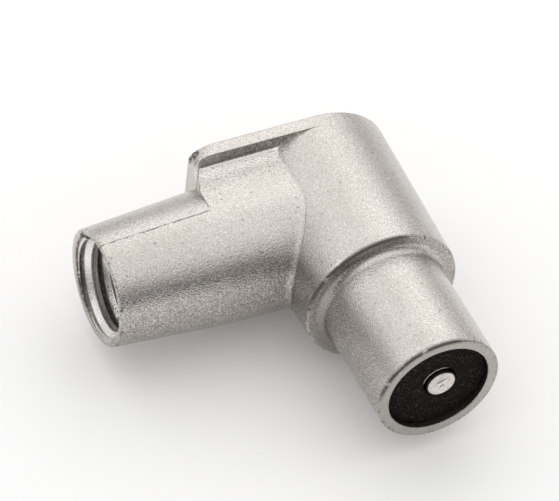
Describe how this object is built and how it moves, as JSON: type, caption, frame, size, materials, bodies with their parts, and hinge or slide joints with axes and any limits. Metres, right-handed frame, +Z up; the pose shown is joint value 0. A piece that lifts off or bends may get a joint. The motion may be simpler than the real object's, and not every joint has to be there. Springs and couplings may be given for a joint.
{
  "type": "right-angle coaxial antenna plug",
  "caption": "Right-angle coaxial antenna plug: die-cast elbow with a plain nose sleeve, a centre pin in black insulator, and a round cable arm threaded inside.",
  "frame": {"origin": "centre of the bounding box's underside, on the surface that the plug lies on", "axes": "-Y along the nose to its mouth, -X along the cable arm to its mouth, +Z up, square to both"},
  "size_m": [0.0256, 0.0226, 0.0127],
  "materials": {
    "satin_nickel": "satin nickel plate on die-cast zinc",
    "black_plastic": "moulded, slightly matt",
    "bright_nickel": "turned brass, nickel plated",
    "zinc_steel": "zinc plated steel",
    "nickel_sheet": "nickel plated sheet"
  },
  "bodies": {
    "root": {"housing": "satin_nickel", "insulator": "black_plastic", "centre_contact": "bright_nickel", "clamp_screw": "zinc_steel", "back_cover": "nickel_sheet"}
  },
  "joints": []
}
